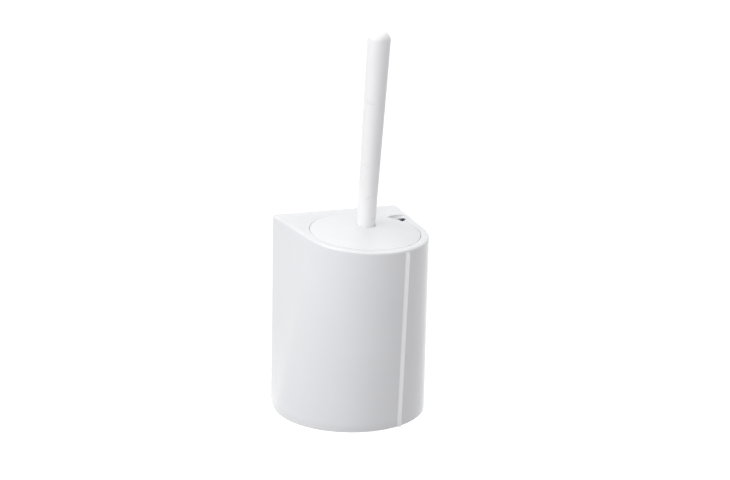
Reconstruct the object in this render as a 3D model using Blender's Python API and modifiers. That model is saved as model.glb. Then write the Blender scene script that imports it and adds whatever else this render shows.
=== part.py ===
"""Toilet brush holder: a rounded housing with a sloping deck, a lift-out cup and a lidded brush.

Metres, +Z up. The front faces -Y, the flat back faces +Y, and the feet stand on Z = 0.
The deck slopes down towards the front. The cup, the lid and the brush share one axis, square to it.
"""
import math

import bmesh
import bpy
from mathutils import Matrix

MM = 0.001

# Sizes that the rest follows
BACK_HEIGHT = 190 * MM
DECK_SLOPE = math.radians(5.8)
BACK_Y = 64 * MM
LID_RADIUS = 52 * MM
HANDLE_TOP = 188 * MM
HANDLE_TOP_RADIUS = 10.6 * MM
HANDLE_FOOT_RADIUS = 8.7 * MM
HUB_LENGTH = 72 * MM

# Gaps between pieces
SEAT_GAP = 0.3 * MM
LID_EDGE_GAP = 0.6 * MM
RUNNING_GAP = 0.3 * MM
PLATE_GAP = 0.5 * MM
NUT_GAP = 0.73 * MM

# Plan of the housing, laid out round the lid
OPENING_RADIUS = LID_RADIUS + LID_EDGE_GAP
DECK_BEHIND_LID = 15.9 * MM
DECK_BEFORE_LID = 7.9 * MM
NOSE_BEHIND_LID = 1 * MM
CORNER_PAST_NOSE = 7 * MM
FOOT_NARROWING = 1 * MM
FOOT_NOSE_GROWTH = 14.5 * MM
FOOT_NOSE_RETREAT = 27 * MM
LID_SETBACK = OPENING_RADIUS + DECK_BEHIND_LID
TOP_NOSE_RADIUS = OPENING_RADIUS + DECK_BEFORE_LID
TOP_NOSE_SETBACK = LID_SETBACK - NOSE_BEHIND_LID
TOP_BACK_WIDTH = 2 * (TOP_NOSE_RADIUS + CORNER_PAST_NOSE)
FOOT_BACK_WIDTH = TOP_BACK_WIDTH - FOOT_NARROWING
FOOT_NOSE_RADIUS = TOP_NOSE_RADIUS + FOOT_NOSE_GROWTH
FOOT_NOSE_SETBACK = TOP_NOSE_SETBACK - FOOT_NOSE_RETREAT
BACK_CORNER_RADIUS = 4 * MM
LEAST_CORNER_RADIUS = 0.5 * MM
RIM_RADIUS = 2 * MM
WALL = 3 * MM
DECK_THICKNESS = 3 * MM
HOUSING_CLEAR_OF_FLOOR = 1.2 * MM
CAVITY_FOOT_LEVEL = -0.05

# Lid
LID_RISE = 7 * MM
LID_THICKNESS = 2.5 * MM
LID_SKIRT_DEPTH = 4.9 * MM
LID_SKIRT_THICKNESS = 2.4 * MM
LID_EDGE_RADIUS = 0.9 * MM
LID_BOSS_WALL = 3 * MM
LID_WEB_DEPTH = 9.5 * MM
LID_WEB_THICKNESS = 2.5 * MM
LID_HOLE_RADIUS = HANDLE_FOOT_RADIUS + LID_EDGE_GAP

# Finger scoop beside the lid
SCOOP_BEARING = math.radians(30)
SCOOP_LENGTH = 17 * MM
SCOOP_HALF_WIDTH = 9 * MM
SCOOP_DEPTH = 6 * MM
SCOOP_SHELL = 2.5 * MM

# Base plate, its screws and feet
PLATE_HEIGHT = 3 * MM
PLATE_THICKNESS = 3 * MM
BOSS_RADIUS = 4.5 * MM
BOSS_HEIGHT = 18 * MM
BOSS_INTO_WALL = 0.8 * MM
BOSS_BEARINGS = (-122, -58, 8, 172)
SCREW_RADIUS = 1.5 * MM
SCREW_LENGTH = 12 * MM
SCREW_HEAD_RADIUS = 2.9 * MM
SCREW_HEAD_THICKNESS = 1.1 * MM
SCREW_SOCKET_RADIUS = 1.3 * MM
SCREW_SOCKET_DEPTH = 0.7 * MM
FOOT_RADIUS = 6.5 * MM
FOOT_STEM_RADIUS = 2.4 * MM
FOOT_BARB_RADIUS = 3.3 * MM
FOOT_BARB_HEIGHT = 2.4 * MM
FOOT_INSET = 18 * MM
FOOT_BEARINGS = (-140, -40, 20, 160)

# Cup, and the seat that it hangs from
SEATED_RADIUS = OPENING_RADIUS - SEAT_GAP
CUP_FLANGE_WIDTH = 4.8 * MM
CUP_FLANGE_THICKNESS = 2.2 * MM
CUP_TAPER = 5 * MM
CUP_TOP_RADIUS = SEATED_RADIUS - CUP_FLANGE_WIDTH
CUP_FOOT_RADIUS = CUP_TOP_RADIUS - CUP_TAPER
CUP_WALL = 2.2 * MM
CUP_CORNER_RADIUS = 5 * MM
CUP_CLEAR_OF_PLATE = 5.6 * MM
SEAT_RING_THICKNESS = 1.5 * MM
LEDGE_THICKNESS = 3 * MM
LEDGE_OVERHANG_GAP = 0.7 * MM
LEDGE_RADIUS = CUP_TOP_RADIUS + LEDGE_OVERHANG_GAP
WELL_WALL = 3 * MM
LID_CENTRE_HEIGHT = BACK_HEIGHT - LID_SETBACK * math.tan(DECK_SLOPE)
CUP_ROOM = LID_CENTRE_HEIGHT - PLATE_HEIGHT - PLATE_THICKNESS - CUP_CLEAR_OF_PLATE
CUP_DEPTH = (CUP_ROOM - CUP_FOOT_RADIUS * math.sin(DECK_SLOPE)) / math.cos(DECK_SLOPE)

# Handle, and the rod, nut, plug and bearing pieces on the brush axis
HANDLE_FOOT_DEPTH = 5 * MM
HANDLE_WALL = 2.2 * MM
HANDLE_ROUNDING = 7.5 * MM
HANDLE_CROWN = 0.6 * MM
NUT_ACROSS_FLATS = (HANDLE_FOOT_RADIUS - HANDLE_WALL - NUT_GAP) * math.sqrt(3)
NUT_THICKNESS = 5 * MM
ROD_RADIUS = NUT_ACROSS_FLATS * 0.3
ROD_BORE = ROD_RADIUS + SEAT_GAP
ROD_ABOVE_NUT = 4 * MM
ROD_IN_HUB = 38 * MM
PLUG_LENGTH = 25 * MM
PLUG_FLANGE_THICKNESS = 2.1 * MM
SPIGOT_WALL = 1.6 * MM
SPIGOT_RADIUS = ROD_BORE + SPIGOT_WALL
BUSH_FLANGE_THICKNESS = 1.5 * MM
BUSH_WALL = 0.8 * MM
BUSH_BORE = SPIGOT_RADIUS + RUNNING_GAP
BUSH_RADIUS = BUSH_BORE + BUSH_WALL
WASHER_THICKNESS = 1.3 * MM
WASHER_RADIUS = LID_HOLE_RADIUS - SEAT_GAP

# Hub, bristles and stem, from the cup's floor up
HUB_NECK_RADIUS = 7.5 * MM
HUB_RADIUS = 11 * MM
HUB_SHOULDER = 7 * MM
HUB_CHAMFER = 1.5 * MM
HUB_PLUG_RADIUS = 5 * MM
HUB_PLUG_LENGTH = 9 * MM
HUB_PLUG_HEAD_RADIUS = 8.5 * MM
HUB_PLUG_HEAD_THICKNESS = 2.6 * MM
BRISTLE_SIDE_GAP = 4.3 * MM
BRISTLE_CLEAR_OF_CUP = 7.6 * MM
BRISTLE_RADIUS = CUP_FOOT_RADIUS - CUP_WALL - BRISTLE_SIDE_GAP
BRISTLE_TOP_BELOW_HUB = 5 * MM
BRISTLE_PAST_PLUG = 3 * MM
BRISTLE_ROUNDING = 14 * MM
BRISTLE_FOOT = -CUP_DEPTH + CUP_WALL + BRISTLE_CLEAR_OF_CUP
PLUG_HEAD_FOOT = BRISTLE_FOOT + BRISTLE_PAST_PLUG
PLUG_HEAD_TOP = PLUG_HEAD_FOOT + HUB_PLUG_HEAD_THICKNESS
HUB_FOOT = PLUG_HEAD_TOP + SEAT_GAP
HUB_TOP = HUB_FOOT + HUB_LENGTH
STEM_FOOT = HUB_TOP + SEAT_GAP
STEM_FLANGE_STEP = 0.5 * MM
STEM_FLANGE_RADIUS = WASHER_RADIUS - STEM_FLANGE_STEP
STEM_FLANGE_THICKNESS = 2.2 * MM
STEM_FOOT_WALL = 2.3 * MM
STEM_TAPER = 0.9 * MM
STEM_FOOT_RADIUS = ROD_BORE + STEM_FOOT_WALL
STEM_RADIUS = STEM_FOOT_RADIUS + STEM_TAPER

# Depths along the brush axis, measured from the deck at the lid's centre, up being positive
FLANGE_TOP = -LID_SKIRT_DEPTH - SEAT_GAP
FLANGE_FOOT = FLANGE_TOP - CUP_FLANGE_THICKNESS
RING_TOP = FLANGE_FOOT - SEAT_GAP
LEDGE_TOP = RING_TOP - SEAT_RING_THICKNESS - SEAT_GAP
LEDGE_FOOT = LEDGE_TOP - LEDGE_THICKNESS
PLUG_FLANGE_TOP = -HANDLE_FOOT_DEPTH - SEAT_GAP
PLUG_FLANGE_FOOT = PLUG_FLANGE_TOP - PLUG_FLANGE_THICKNESS
WEB_TOP = -LID_WEB_DEPTH
WEB_FOOT = WEB_TOP - LID_WEB_THICKNESS
WASHER_TOP = WEB_FOOT - SEAT_GAP
STEM_TOP = WASHER_TOP - WASHER_THICKNESS - SEAT_GAP
NUT_FOOT = PLUG_FLANGE_TOP + PLUG_LENGTH + SEAT_GAP

# Mesh fineness
NOSE_STEPS = 48
CORNER_STEPS = 4
HOUSING_LEVELS = 6
RIM_STEPS = 3
BIG_ROUND_STEPS = 52
MID_ROUND_STEPS = 28
SMALL_ROUND_STEPS = 16
BORE_STEPS = 12

parts = None
cutters = None
materials = {}


def clear_scene():
    """Empty the scene of the objects it opens with."""
    for thing in list(bpy.data.objects):
        bpy.data.objects.remove(thing)


def make_collections():
    """One collection for the object's pieces and one for the shapes that cut them."""
    global parts, cutters
    parts = bpy.data.collections.new("toilet_brush_holder")
    cutters = bpy.data.collections.new("cutters")
    bpy.context.scene.collection.children.link(parts)
    bpy.context.scene.collection.children.link(cutters)


def add_material(name, colour, roughness, metallic=0.0):
    """A Principled material with the finish of one kind of stuff."""
    made = bpy.data.materials.new(name)
    made.use_nodes = True
    shader = made.node_tree.nodes["Principled BSDF"]
    shader.inputs["Base Color"].default_value = (*colour, 1.0)
    shader.inputs["Roughness"].default_value = roughness
    shader.inputs["Metallic"].default_value = metallic
    materials[name] = made


def make_materials():
    """The stuffs that the pieces are made of."""
    add_material("gloss_white", (0.88, 0.89, 0.90), 0.14)
    add_material("cup_white", (0.80, 0.81, 0.82), 0.45)
    add_material("nylon", (0.72, 0.72, 0.70), 0.5)
    add_material("bristle_white", (0.90, 0.91, 0.92), 0.6)
    add_material("soft_grey", (0.42, 0.43, 0.44), 0.8)
    add_material("steel", (0.62, 0.62, 0.63), 0.28, 1.0)


def finish(piece, material, parent=None):
    """Give a piece its material, and hang it from the empty on its axis."""
    for home in piece.users_collection:
        home.objects.unlink(piece)
    parts.objects.link(piece)
    piece.data.materials.clear()
    piece.data.materials.append(materials[material])
    if parent is not None:
        piece.parent = parent
    return piece


def as_cutter(shape, parent=None):
    """Keep a shape for cutting only, out of the render."""
    for home in shape.users_collection:
        home.objects.unlink(shape)
    cutters.objects.link(shape)
    shape.hide_render = True
    shape.display_type = "WIRE"
    if parent is not None:
        shape.parent = parent
    return shape


def boolean(piece, tool, operation="DIFFERENCE"):
    """Cut, join or intersect a piece with another closed shape."""
    step = piece.modifiers.new(operation.lower() + "_" + tool.name, "BOOLEAN")
    step.operation = operation
    step.solver = "EXACT"
    step.object = tool


def mesh_object(name, verts, faces, edges=()):
    """An object made from its points and faces."""
    mesh = bpy.data.meshes.new(name)
    mesh.from_pydata(verts, list(edges), faces)
    mesh.update()
    made = bpy.data.objects.new(name, mesh)
    bpy.context.scene.collection.objects.link(made)
    return made


def turned(name, profile, steps, at=0.0):
    """A shape turned about Z from its half profile, which runs down the outer side."""
    points = [(radius, 0.0, height) for radius, height in profile]
    edges = [(i, i + 1) for i in range(len(points) - 1)]
    on_axis = profile[0][0] == 0.0 and profile[-1][0] == 0.0
    if not on_axis:
        edges.append((len(points) - 1, 0))
    made = mesh_object(name, points, [], edges)
    spin = made.modifiers.new("turn", "SCREW")
    spin.axis = "Z"
    spin.angle = math.tau
    spin.steps = steps
    spin.render_steps = steps
    spin.use_merge_vertices = True
    spin.merge_threshold = 0.00001
    made.location = (0.0, 0.0, at)
    return made


def arc(centre, radius, start, end, steps):
    """Points on a circle arc in a profile, with both ends, angles in degrees."""
    points = []
    for i in range(steps + 1):
        angle = math.radians(start + (end - start) * i / steps)
        points.append((centre[0] + radius * math.cos(angle), centre[1] + radius * math.sin(angle)))
    return points


def cylinder(name, radius, depth, location, sides):
    """A plain round bar standing on its place."""
    bpy.ops.mesh.primitive_cylinder_add(
        vertices=sides, radius=radius, depth=depth,
        location=(location[0], location[1], location[2] + depth / 2))
    made = bpy.context.object
    made.name = name
    return made


# Plan of the housing

def section(level):
    """Back width, nose radius and nose centre of the plan, from the foot (0) to the deck (1)."""
    width = FOOT_BACK_WIDTH + (TOP_BACK_WIDTH - FOOT_BACK_WIDTH) * level
    radius = FOOT_NOSE_RADIUS + (TOP_NOSE_RADIUS - FOOT_NOSE_RADIUS) * level
    setback = FOOT_NOSE_SETBACK + (TOP_NOSE_SETBACK - FOOT_NOSE_SETBACK) * level
    return width, radius, BACK_Y - setback


def plan(level, inset=0.0):
    """Outline of the plan, counter-clockwise: two small back corners and the round nose.

    The flat sides run from the back corners and meet the nose as tangents. An inset moves
    the whole outline inwards by the same distance.
    """
    width, radius, nose_y = section(level)
    across = width / 2
    back = BACK_Y - nose_y
    facing = math.atan2(back, across) - math.acos(radius / math.hypot(across, back))
    small = max(BACK_CORNER_RADIUS - inset, LEAST_CORNER_RADIUS)
    corner_in = inset + small
    corner_x = (radius - corner_in - (back - corner_in) * math.sin(facing)) / math.cos(facing)
    corner_y = BACK_Y - corner_in
    outline = []
    for i in range(CORNER_STEPS + 1):
        angle = facing + (math.pi / 2 - facing) * i / CORNER_STEPS
        outline.append((corner_x + small * math.cos(angle), corner_y + small * math.sin(angle)))
    for x, y in reversed(outline[:]):
        outline.append((-x, y))
    start = math.pi - facing
    sweep = math.pi + 2 * facing
    for i in range(NOSE_STEPS + 1):
        angle = start + sweep * i / NOSE_STEPS
        nose = radius - inset
        outline.append((nose * math.cos(angle), nose_y + nose * math.sin(angle)))
    return outline


def deck_height(y):
    """Height of the deck's plane at a distance from the back."""
    return BACK_HEIGHT + (y - BACK_Y) * math.tan(DECK_SLOPE)


def plan_at_height(height, inset):
    """Outline of the housing cut level with the floor, though its own levels follow the deck."""
    rise = height - HOUSING_CLEAR_OF_FLOOR
    middle = plan(rise / (deck_height(0.0) - HOUSING_CLEAR_OF_FLOOR), inset)
    outline = []
    for i, (_, y) in enumerate(middle):
        level = rise / (deck_height(y) - HOUSING_CLEAR_OF_FLOOR)
        outline.append(plan(level, inset)[i])
    return outline


def loft_row(level, inset, drop):
    """One closed row of points round the housing at a level, sunk by a drop below the deck."""
    row = []
    for x, y in plan(level, inset):
        rise = deck_height(y) - drop - HOUSING_CLEAR_OF_FLOOR
        row.append((x, y, HOUSING_CLEAR_OF_FLOOR + rise * level))
    return row


def split_square(verts, corners):
    """Two triangles across the shorter diagonal of a four-sided face."""
    a, b, c, d = corners
    if math.dist(verts[a], verts[c]) <= math.dist(verts[b], verts[d]):
        return [(a, b, c), (a, c, d)]
    return [(a, b, d), (b, c, d)]


def loft(name, rows):
    """A closed solid through rows of points, from the foot up, with flat ends."""
    around = len(rows[0])
    verts = [point for row in rows for point in row]
    faces = [tuple(reversed(range(around)))]
    for row in range(len(rows) - 1):
        for i in range(around):
            low = row * around + i
            low_after = row * around + (i + 1) % around
            faces += split_square(verts, (low, low_after, low_after + around, low + around))
    last = (len(rows) - 1) * around
    faces.append(tuple(range(last, last + around)))
    return mesh_object(name, verts, faces)


def outer_rows():
    """Rows of the housing's outside, with a rounded rim round the deck."""
    rows = [loft_row(i / HOUSING_LEVELS, 0.0, RIM_RADIUS) for i in range(HOUSING_LEVELS + 1)]
    for i in range(1, RIM_STEPS + 1):
        angle = math.pi / 2 * i / RIM_STEPS
        rows.append(loft_row(1.0, RIM_RADIUS * (1 - math.cos(angle)), RIM_RADIUS * (1 - math.sin(angle))))
    return rows


def inner_rows():
    """Rows of the hollow inside the walls, open well below the foot."""
    rows = []
    for i in range(HOUSING_LEVELS + 1):
        level = CAVITY_FOOT_LEVEL + (1.0 - CAVITY_FOOT_LEVEL) * i / HOUSING_LEVELS
        rows.append(loft_row(level, WALL, DECK_THICKNESS))
    return rows


def deck_axis(name):
    """An empty at the lid's centre in the deck, with its Z square to the deck."""
    made = bpy.data.objects.new(name, None)
    parts.objects.link(made)
    centre_y = BACK_Y - LID_SETBACK
    made.location = (0.0, centre_y, deck_height(centre_y))
    made.rotation_euler = (DECK_SLOPE, 0.0, 0.0)
    made.empty_display_size = 0.02
    return made


def ring_points(bearings, inset):
    """Places beside the housing's wall at the foot, by bearing about the nose centre in degrees."""
    _, radius, nose_y = section(0.0)
    reach = radius - inset
    places = []
    for bearing in bearings:
        angle = math.radians(bearing)
        places.append((reach * math.cos(angle), nose_y + reach * math.sin(angle)))
    return places


def boss_points():
    """Places of the screw bosses, each run a little into the wall beside it."""
    return ring_points(BOSS_BEARINGS, WALL + BOSS_RADIUS - BOSS_INTO_WALL)


# Housing

def ellipsoid(name, growth, axis):
    """The finger scoop's bowl, or a larger one round it."""
    bpy.ops.mesh.primitive_uv_sphere_add(segments=24, ring_count=12, radius=1.0)
    made = bpy.context.object
    made.name = name
    sizes = (SCOOP_LENGTH + growth, SCOOP_HALF_WIDTH + growth, SCOOP_DEPTH + growth)
    made.data.transform(Matrix.Diagonal((*sizes, 1.0)))
    made.location = (OPENING_RADIUS * math.cos(SCOOP_BEARING),
                     OPENING_RADIUS * math.sin(SCOOP_BEARING), 0.0)
    made.rotation_euler = (0.0, 0.0, SCOOP_BEARING)
    return as_cutter(made, axis)


def make_cavity(axis):
    """The hollow inside the housing, less the well, the scoop's shell and the screw bosses."""
    cavity = as_cutter(loft("cavity_form", inner_rows()))
    well = turned("well_form", [
        (0.0, DECK_THICKNESS * 3), (OPENING_RADIUS + WELL_WALL, DECK_THICKNESS * 3),
        (OPENING_RADIUS + WELL_WALL, LEDGE_FOOT), (0.0, LEDGE_FOOT)], BIG_ROUND_STEPS)
    boolean(cavity, as_cutter(well, axis))
    boolean(cavity, ellipsoid("scoop_shell_form", SCOOP_SHELL, axis))
    foot = PLATE_HEIGHT + PLATE_THICKNESS + SEAT_GAP
    for i, (x, y) in enumerate(boss_points(), 1):
        boss = cylinder(f"boss_form_{i}", BOSS_RADIUS, BOSS_HEIGHT, (x, y, foot), SMALL_ROUND_STEPS)
        boolean(cavity, as_cutter(boss))
    return cavity


def make_housing(axis):
    """Outer shell in one moulding: walls, sloping deck, well with its ledge, scoop and bosses."""
    housing = finish(loft("housing", outer_rows()), "gloss_white")
    boolean(housing, make_cavity(axis))
    above = DECK_THICKNESS * 2
    below = LEDGE_FOOT - DECK_THICKNESS
    opening = turned("opening_form", [
        (0.0, above), (OPENING_RADIUS, above), (OPENING_RADIUS, LEDGE_TOP),
        (LEDGE_RADIUS, LEDGE_TOP), (LEDGE_RADIUS, below), (0.0, below)], BIG_ROUND_STEPS)
    boolean(housing, as_cutter(opening, axis))
    boolean(housing, ellipsoid("scoop_form", 0.0, axis))
    foot = PLATE_HEIGHT + PLATE_THICKNESS
    depth = SCREW_LENGTH + SCREW_RADIUS
    for i, (x, y) in enumerate(boss_points(), 1):
        bore = cylinder(f"boss_bore_{i}", SCREW_RADIUS + SEAT_GAP, depth, (x, y, foot), BORE_STEPS)
        boolean(housing, as_cutter(bore))
    return housing


def make_base_plate():
    """Flat plate that closes the foot of the housing, inside its walls."""
    outline = plan_at_height(PLATE_HEIGHT + PLATE_THICKNESS, WALL + PLATE_GAP)
    curve = bpy.data.curves.new("base_plate_outline", "CURVE")
    curve.dimensions = "2D"
    curve.fill_mode = "BOTH"
    curve.extrude = PLATE_THICKNESS / 2
    line = curve.splines.new("POLY")
    line.points.add(len(outline) - 1)
    for point, (x, y) in zip(line.points, outline):
        point.co = (x, y, 0.0, 1.0)
    line.use_cyclic_u = True
    drawn = bpy.data.objects.new("base_plate_outline", curve)
    bpy.context.scene.collection.objects.link(drawn)
    bpy.context.view_layer.update()
    mesh = bpy.data.meshes.new_from_object(drawn.evaluated_get(bpy.context.evaluated_depsgraph_get()))
    bpy.data.objects.remove(drawn)
    work = bmesh.new()
    work.from_mesh(mesh)
    bmesh.ops.remove_doubles(work, verts=work.verts, dist=0.00001)
    bmesh.ops.recalc_face_normals(work, faces=work.faces)
    work.to_mesh(mesh)
    work.free()
    plate = bpy.data.objects.new("base_plate", mesh)
    plate.location = (0.0, 0.0, PLATE_HEIGHT + PLATE_THICKNESS / 2)
    finish(plate, "cup_white")
    holes = [(place, SCREW_RADIUS) for place in boss_points()]
    holes += [(place, FOOT_STEM_RADIUS) for place in ring_points(FOOT_BEARINGS, FOOT_INSET)]
    for i, ((x, y), radius) in enumerate(holes, 1):
        hole = cylinder(f"plate_hole_{i}", radius + SEAT_GAP, PLATE_THICKNESS * 3,
                        (x, y, PLATE_HEIGHT - PLATE_THICKNESS), SMALL_ROUND_STEPS)
        boolean(plate, as_cutter(hole))
    return plate


def make_base_screws():
    """Short screws, heads down, that hold the base plate to the housing's bosses."""
    head_top = PLATE_HEIGHT - SEAT_GAP
    head = SCREW_HEAD_THICKNESS
    for i, (x, y) in enumerate(boss_points(), 1):
        screw = turned(f"base_screw_{i}", [
            (0.0, SCREW_LENGTH), (SCREW_RADIUS * 0.6, SCREW_LENGTH),
            (SCREW_RADIUS, SCREW_LENGTH - SCREW_RADIUS), (SCREW_RADIUS, 0.0),
            (SCREW_HEAD_RADIUS, 0.0), (SCREW_HEAD_RADIUS, -head * 0.5),
            (SCREW_HEAD_RADIUS * 0.8, -head), (0.0, -head)], SMALL_ROUND_STEPS, head_top)
        screw.location.x = x
        screw.location.y = y
        finish(screw, "steel")
        socket = cylinder(f"screw_socket_{i}", SCREW_SOCKET_RADIUS, SCREW_SOCKET_DEPTH * 2,
                          (x, y, head_top - head - SCREW_SOCKET_DEPTH), 6)
        boolean(screw, as_cutter(socket))


def make_feet():
    """Soft feet, each with a barbed stem pushed up through the base plate."""
    pad = PLATE_HEIGHT - SEAT_GAP
    past = PLATE_HEIGHT + PLATE_THICKNESS + SEAT_GAP
    for i, (x, y) in enumerate(ring_points(FOOT_BEARINGS, FOOT_INSET), 1):
        foot = turned(f"foot_{i}", [
            (0.0, past + FOOT_BARB_HEIGHT), (FOOT_STEM_RADIUS * 0.6, past + FOOT_BARB_HEIGHT),
            (FOOT_BARB_RADIUS, past), (FOOT_STEM_RADIUS, past), (FOOT_STEM_RADIUS, pad),
            (FOOT_RADIUS, pad), (FOOT_RADIUS, pad * 0.3), (FOOT_RADIUS - pad * 0.3, 0.0),
            (0.0, 0.0)], SMALL_ROUND_STEPS)
        foot.location.x = x
        foot.location.y = y
        finish(foot, "soft_grey")


def make_seat_ring(axis):
    """Soft ring on the well's ledge, which the cup's flange rests on."""
    foot = RING_TOP - SEAT_RING_THICKNESS
    inner = LEDGE_RADIUS + SEAT_GAP
    ring = turned("seat_ring", [
        (SEATED_RADIUS, RING_TOP), (SEATED_RADIUS, foot), (inner, foot), (inner, RING_TOP)],
        BIG_ROUND_STEPS)
    finish(ring, "soft_grey", axis)


# Cup

def make_cup(axis):
    """Lift-out cup that hangs in the well by its flange and catches the drips."""
    foot = -CUP_DEPTH
    bend = CUP_CORNER_RADIUS
    lean = (CUP_TOP_RADIUS - CUP_FOOT_RADIUS) / (CUP_DEPTH + FLANGE_FOOT)
    outer = [(SEATED_RADIUS, FLANGE_TOP), (SEATED_RADIUS, FLANGE_FOOT), (CUP_TOP_RADIUS, FLANGE_FOOT)]
    outer += arc((CUP_FOOT_RADIUS + lean * bend - bend, foot + bend), bend, 0, -90, 4)
    outer.append((0.0, foot))
    inner_foot = foot + CUP_WALL
    bend -= CUP_WALL
    floor = CUP_FOOT_RADIUS - CUP_WALL
    inner = [(0.0, inner_foot)]
    inner += arc((floor - bend + lean * bend, inner_foot + bend), bend, -90, 0, 3)
    inner.append((CUP_TOP_RADIUS - CUP_WALL, FLANGE_FOOT))
    inner.append((CUP_TOP_RADIUS - CUP_WALL, FLANGE_TOP))
    cup = turned("inner_cup", inner + outer, BIG_ROUND_STEPS)
    finish(cup, "cup_white", axis)


# Lid

def dome(radius, rim_radius, rise, steps, inner_radius):
    """Points of a shallow dome's profile from near the middle out to its rim at height 0."""
    ball = (rim_radius ** 2 + rise ** 2) / (2 * rise)
    points = []
    for i in range(steps + 1):
        reach = inner_radius + (radius - inner_radius) * i / steps
        points.append((reach, math.sqrt(ball ** 2 - reach ** 2) - (ball - rise)))
    return points


def make_lid(axis):
    """Shallow domed lid with a skirt on the cup's flange and a boss round the handle's foot."""
    skirt_in = LID_RADIUS - LID_SKIRT_THICKNESS
    boss_out = LID_HOLE_RADIUS + LID_BOSS_WALL
    top = dome(LID_RADIUS - LID_EDGE_RADIUS, LID_RADIUS, LID_RISE, 7, LID_HOLE_RADIUS)
    edge = arc((LID_RADIUS - LID_EDGE_RADIUS, top[-1][1] - LID_EDGE_RADIUS), LID_EDGE_RADIUS, 60, 0, 2)
    under = [(x, z - LID_THICKNESS) for x, z in
             reversed(dome(skirt_in, LID_RADIUS, LID_RISE, 6, boss_out))]
    profile = top + edge + [(LID_RADIUS, -LID_SKIRT_DEPTH), (skirt_in, -LID_SKIRT_DEPTH)]
    profile += under
    profile += [(boss_out, WEB_FOOT), (BUSH_RADIUS + SEAT_GAP, WEB_FOOT),
                (BUSH_RADIUS + SEAT_GAP, WEB_TOP), (LID_HOLE_RADIUS, WEB_TOP)]
    lid = turned("lid", profile, BIG_ROUND_STEPS)
    finish(lid, "gloss_white", axis)


def make_lid_bush(axis):
    """Flanged bush in the lid's web, which the handle turns in."""
    flange_foot = WEB_TOP + SEAT_GAP
    flange_top = flange_foot + BUSH_FLANGE_THICKNESS
    flange = LID_HOLE_RADIUS - SEAT_GAP
    bush = turned("lid_bush", [
        (flange, flange_top), (flange, flange_foot), (BUSH_RADIUS, flange_foot),
        (BUSH_RADIUS, WEB_FOOT), (BUSH_BORE, WEB_FOOT), (BUSH_BORE, flange_top)], MID_ROUND_STEPS)
    finish(bush, "nylon", axis)


# Brush

def handle_radius(height):
    """Outer radius of the tapered handle at a height above the deck."""
    run = HANDLE_TOP + HANDLE_FOOT_DEPTH
    share = (height + HANDLE_FOOT_DEPTH) / run
    return HANDLE_FOOT_RADIUS + (HANDLE_TOP_RADIUS - HANDLE_FOOT_RADIUS) * share


def make_handle(axis):
    """Hollow tapered handle with a round closed top, open at its foot."""
    shoulder = HANDLE_TOP - HANDLE_CROWN - HANDLE_ROUNDING
    widest = handle_radius(shoulder)
    outer = [(0.0, HANDLE_TOP)]
    outer += arc((widest - HANDLE_ROUNDING, shoulder), HANDLE_ROUNDING, 90, 0, 6)
    outer.append((handle_radius(HANDLE_TOP / 2), HANDLE_TOP / 2))
    outer.append((HANDLE_FOOT_RADIUS, -HANDLE_FOOT_DEPTH))
    bore_foot = HANDLE_FOOT_RADIUS - HANDLE_WALL
    bend = HANDLE_ROUNDING - HANDLE_WALL
    inner = [(bore_foot, -HANDLE_FOOT_DEPTH)]
    inner += arc((widest - HANDLE_ROUNDING, shoulder), bend, 0, 90, 3)
    inner.append((0.0, shoulder + bend))
    handle = turned("handle", outer + inner, MID_ROUND_STEPS)
    finish(handle, "gloss_white", axis)


def make_handle_plug(axis):
    """Plug in the handle's foot, with the spigot that turns in the lid's bush."""
    body = HANDLE_FOOT_RADIUS - HANDLE_WALL - SEAT_GAP
    top = PLUG_FLANGE_TOP + PLUG_LENGTH
    spigot_foot = STEM_TOP + SEAT_GAP
    plug = turned("handle_plug", [
        (body, top), (body, PLUG_FLANGE_TOP), (HANDLE_FOOT_RADIUS, PLUG_FLANGE_TOP),
        (HANDLE_FOOT_RADIUS, PLUG_FLANGE_FOOT), (SPIGOT_RADIUS, PLUG_FLANGE_FOOT),
        (SPIGOT_RADIUS, spigot_foot), (ROD_BORE, spigot_foot), (ROD_BORE, top)], MID_ROUND_STEPS)
    finish(plug, "nylon", axis)


def make_rod(axis):
    """Steel tie rod from the nut in the handle down into the hub."""
    top = NUT_FOOT + NUT_THICKNESS + ROD_ABOVE_NUT
    foot = HUB_TOP - ROD_IN_HUB
    chamfer = ROD_RADIUS * 0.25
    rod = turned("tie_rod", [
        (0.0, top), (ROD_RADIUS - chamfer, top), (ROD_RADIUS, top - chamfer),
        (ROD_RADIUS, foot + chamfer), (ROD_RADIUS - chamfer, foot), (0.0, foot)],
        SMALL_ROUND_STEPS)
    finish(rod, "steel", axis)


def make_rod_nut(axis):
    """Hexagon nut on the rod, drawn down on the plug inside the handle."""
    corner = NUT_ACROSS_FLATS / math.sqrt(3)
    nut = cylinder("rod_nut", corner, NUT_THICKNESS, (0.0, 0.0, NUT_FOOT), 6)
    finish(nut, "steel", axis)
    bore = cylinder("nut_bore", ROD_BORE, NUT_THICKNESS * 3,
                    (0.0, 0.0, NUT_FOOT - NUT_THICKNESS), SMALL_ROUND_STEPS)
    boolean(nut, as_cutter(bore, axis))


def make_thrust_washer(axis):
    """Washer between the lid's web and the stem's flange."""
    foot = WASHER_TOP - WASHER_THICKNESS
    washer = turned("thrust_washer", [
        (WASHER_RADIUS, WASHER_TOP), (WASHER_RADIUS, foot), (BUSH_BORE, foot),
        (BUSH_BORE, WASHER_TOP)], MID_ROUND_STEPS)
    finish(washer, "steel", axis)


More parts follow.
